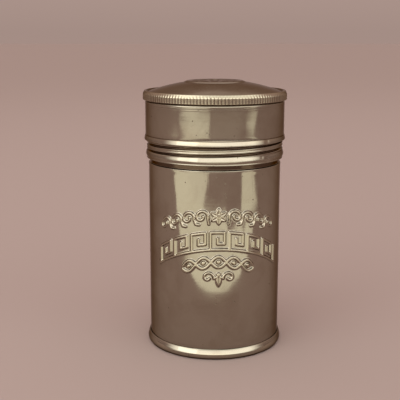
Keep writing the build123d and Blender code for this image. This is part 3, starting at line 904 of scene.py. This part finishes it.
for i in range(1, 33):
    radius = MEDALLION_EDGE * (1 - i / 32)
    top.append((radius, MEDALLION_TOP + MEDALLION_CROWN * (1 - (radius / MEDALLION_RADIUS) ** 2)))
cap_top = spin_section("cap_top_dome", inside + top, [(2 * math.pi, COLUMNS)], math.pi / 2, closed=False)
r, a, z = vertex_places(cap_top)
tooth = np.abs(np.sin((a - math.pi / 2) * TEETH / 2)) ** 0.8
up_rim = (z - RIM_BOTTOM) / (RIM_TOP - RIM_BOTTOM)
milled = smooth_step(up_rim / 0.1) * smooth_step((1 - up_rim) / 0.4) * (r > RIM_WALL - RIM_BOW + 0.03)
on_top = (z > MEDALLION_TOP - 0.12) & (r < MEDALLION_RADIUS)
petal_middle = np.abs(np.cos(a * PETALS / 2))
petals = petal_middle ** 0.7 * smooth_step((r - PETAL_START) / 1.2)
petals *= smooth_step((PETAL_END - 1.1 * (1 - petal_middle) - r) / 0.5) * on_top
border = soft_line(r, BORDER_RADIUS, 0.22) * on_top
boss = smooth_step((BOSS_RADIUS - r) / 0.6) * on_top
raised = PETAL_HEIGHT * petals + BORDER_HEIGHT * border + BOSS_HEIGHT * boss
dents = np.zeros_like(r)
for turn, out, wide, deep in DOME_DENTS:
    x_away = r * np.cos(a) - out * math.cos(math.radians(turn))
    y_away = r * np.sin(a) - out * math.sin(math.radians(turn))
    dents += dent(x_away, y_away, wide, deep) * (r < DOME_EDGE) * (z > RIM_BEND + 0.1)
r = r + milled * TOOTH_HEIGHT * tooth
move_vertices(cap_top, r, a, z + raised - dents)
valley = milled * (1 - tooth)
rim_groove = soft_line(r, DOME_EDGE + 0.17, 0.16) * (z > RIM_TOP - 0.6)
flank = 2 * petals * (1 - petals)
flank += 0.5 * soft_line(r, MEDALLION_FOOT - 0.05, 0.2) * (z > DOME_TOP - 0.3)
paint(cap_top, "grime_and_shade", np.maximum.reduce([0.95 * valley ** 0.8, 0.7 * rim_groove, flank]))
polished = smooth_step((up_rim - 0.3) / 0.3) * (r > RIM_WALL - RIM_BOW)
paint(cap_top, "wear", np.maximum(0.45 * milled * smooth_step((tooth - 0.35) / 0.5), 0.4 * polished))
cap_top.data.materials.append(nickel_plate("dome_nickel", DOME_NICKEL, DOME_TARNISH, DOME_GLOSS))
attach(cap_top, "cap")
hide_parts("cap_top")

# ---------------------------------------------------------------------------------------------
# Floor, light and camera. A plain pale floor, soft windows above and in front, pale cards that lie
# on the floor and shine up for the polished metal to mirror, and a camera that looks down a little.
# ---------------------------------------------------------------------------------------------
FLOOR_COLOUR = (0.5, 0.4, 0.38, 1)
WINDOW_COLOUR = (1.0, 0.98, 0.92)
CARD_COLOUR = (0.97, 1.03, 0.82)
AIM = (0, 0, 0.04)
CAMERA_YAW = math.radians(-1.022)
CAMERA_PITCH = math.radians(11.57)

bpy.ops.object.select_all(action="DESELECT")
bpy.ops.mesh.primitive_circle_add(vertices=96, radius=6, fill_type="NGON")
floor = bpy.context.object
floor.name = "floor"
floor_paint = bpy.data.materials.new("floor_paint")
floor_paint.use_nodes = True
shader = floor_paint.node_tree.nodes["Principled BSDF"]
shader.inputs["Base Color"].default_value = FLOOR_COLOUR
shader.inputs["Roughness"].default_value = 0.9
shader.inputs["Specular IOR Level"].default_value = 0.1
floor.data.materials.append(floor_paint)


def soft_light(name, place, aim, size, power, colour):
    data = bpy.data.lights.new(name, "AREA")
    data.shape = "RECTANGLE"
    data.size, data.size_y = size
    data.energy = power
    data.color = colour
    light = bpy.data.objects.new(name, data)
    bpy.context.scene.collection.objects.link(light)
    light.location = place
    light.rotation_euler = (Vector(aim) - Vector(place)).to_track_quat("-Z", "Y").to_euler()
    light.visible_camera = False
    return light


soft_light("overhead", (-0.1, 0.2, 0.76), AIM, (1.2, 0.9), 1.0, (1.0, 0.98, 0.95))
soft_light("front_window", (-0.12, -0.4, 0.62), AIM, (0.45, 0.3), 0.34, WINDOW_COLOUR)
soft_light("left_window", (-0.42, -0.42, 0.26), AIM, (0.4, 0.4), 0.4, WINDOW_COLOUR)
for name, x, y, width, depth, turn, glow in (
    ("near_card", -0.1315, -0.107, 0.577, 0.045, 4, 0.92),
    ("middle_card", -0.155, -0.1487, 0.57, 0.035, 4, 0.92),
    ("far_card", -0.1873, -0.1885, 0.5, 0.04, 4, 0.92),
    ("side_card", 0.2586, -0.1613, 0.2, 0.12, -40, 0.86),
    ("left_card", -0.2011, -0.2772, 0.28, 0.135, 4, 0.8),
    ("left_far_card", -0.33, -0.54, 0.5, 0.38, 0, 0.8),
    ("right_card", 0.62, -0.31, 0.34, 0.16, 0, 0.66),
    ("far_middle_card", 0.24, -0.6, 0.62, 0.45, 0, 0.1),
):
    power = glow * math.pi * width * depth
    card = soft_light(name, (x, y, 0.001), (x, y, 1), (width, depth), power, CARD_COLOUR)
    card.rotation_euler.z += math.radians(turn)

# The room is bright in front of the container, and dim and warm behind it.
room = bpy.data.worlds.new("room")
bpy.context.scene.world = room
room.use_nodes = True
direction = add_step(room, "TexCoord", {}).outputs["Generated"]
direction = add_step(room, "SeparateXYZ", {0: direction}).outputs
forward = spread(room, direction["Y"], 0.05, -0.5)
forward.node.interpolation_type = "SMOOTHSTEP"
front = add_step(room, "ValToRGB", {"Fac": direction["Z"]})
back = add_step(room, "ValToRGB", {"Fac": direction["Z"]})
front_stops = ((0.02, 0.2), (0.09, 2.5), (0.36, 2.5), (0.42, 1.6), (0.58, 1.6), (0.68, 0.4))
back_stops = ((0.0, 0.37), (0.25, 0.56))
for ramp, tint, stops in ((front, (1, 0.975, 0.9), front_stops), (back, (1, 0.72, 0.63), back_stops)):
    while len(ramp.color_ramp.elements) < len(stops):
        ramp.color_ramp.elements.new(0.5)
    for element, (position, level) in zip(ramp.color_ramp.elements, stops):
        element.position = position
        element.color = (level * tint[0], level * tint[1], level * tint[2], 1)
sky = blend_colours(room, forward, back.outputs["Color"], front.outputs["Color"])
background = room.node_tree.nodes["Background"]
room.node_tree.links.new(sky, background.inputs["Color"])
bpy.context.scene.view_settings.view_transform = "Standard"

camera_data = bpy.data.cameras.new("camera")
camera = bpy.data.objects.new("camera", camera_data)
bpy.context.scene.collection.objects.link(camera)
camera.location = (0, -0.2364, 0.0902)
level = math.cos(CAMERA_PITCH)
looking = Vector((math.sin(CAMERA_YAW) * level, math.cos(CAMERA_YAW) * level, -math.sin(CAMERA_PITCH)))
camera.rotation_euler = looking.to_track_quat("-Z", "Y").to_euler()
camera_data.lens = 74.2
camera_data.sensor_width = 36
bpy.context.scene.camera = camera
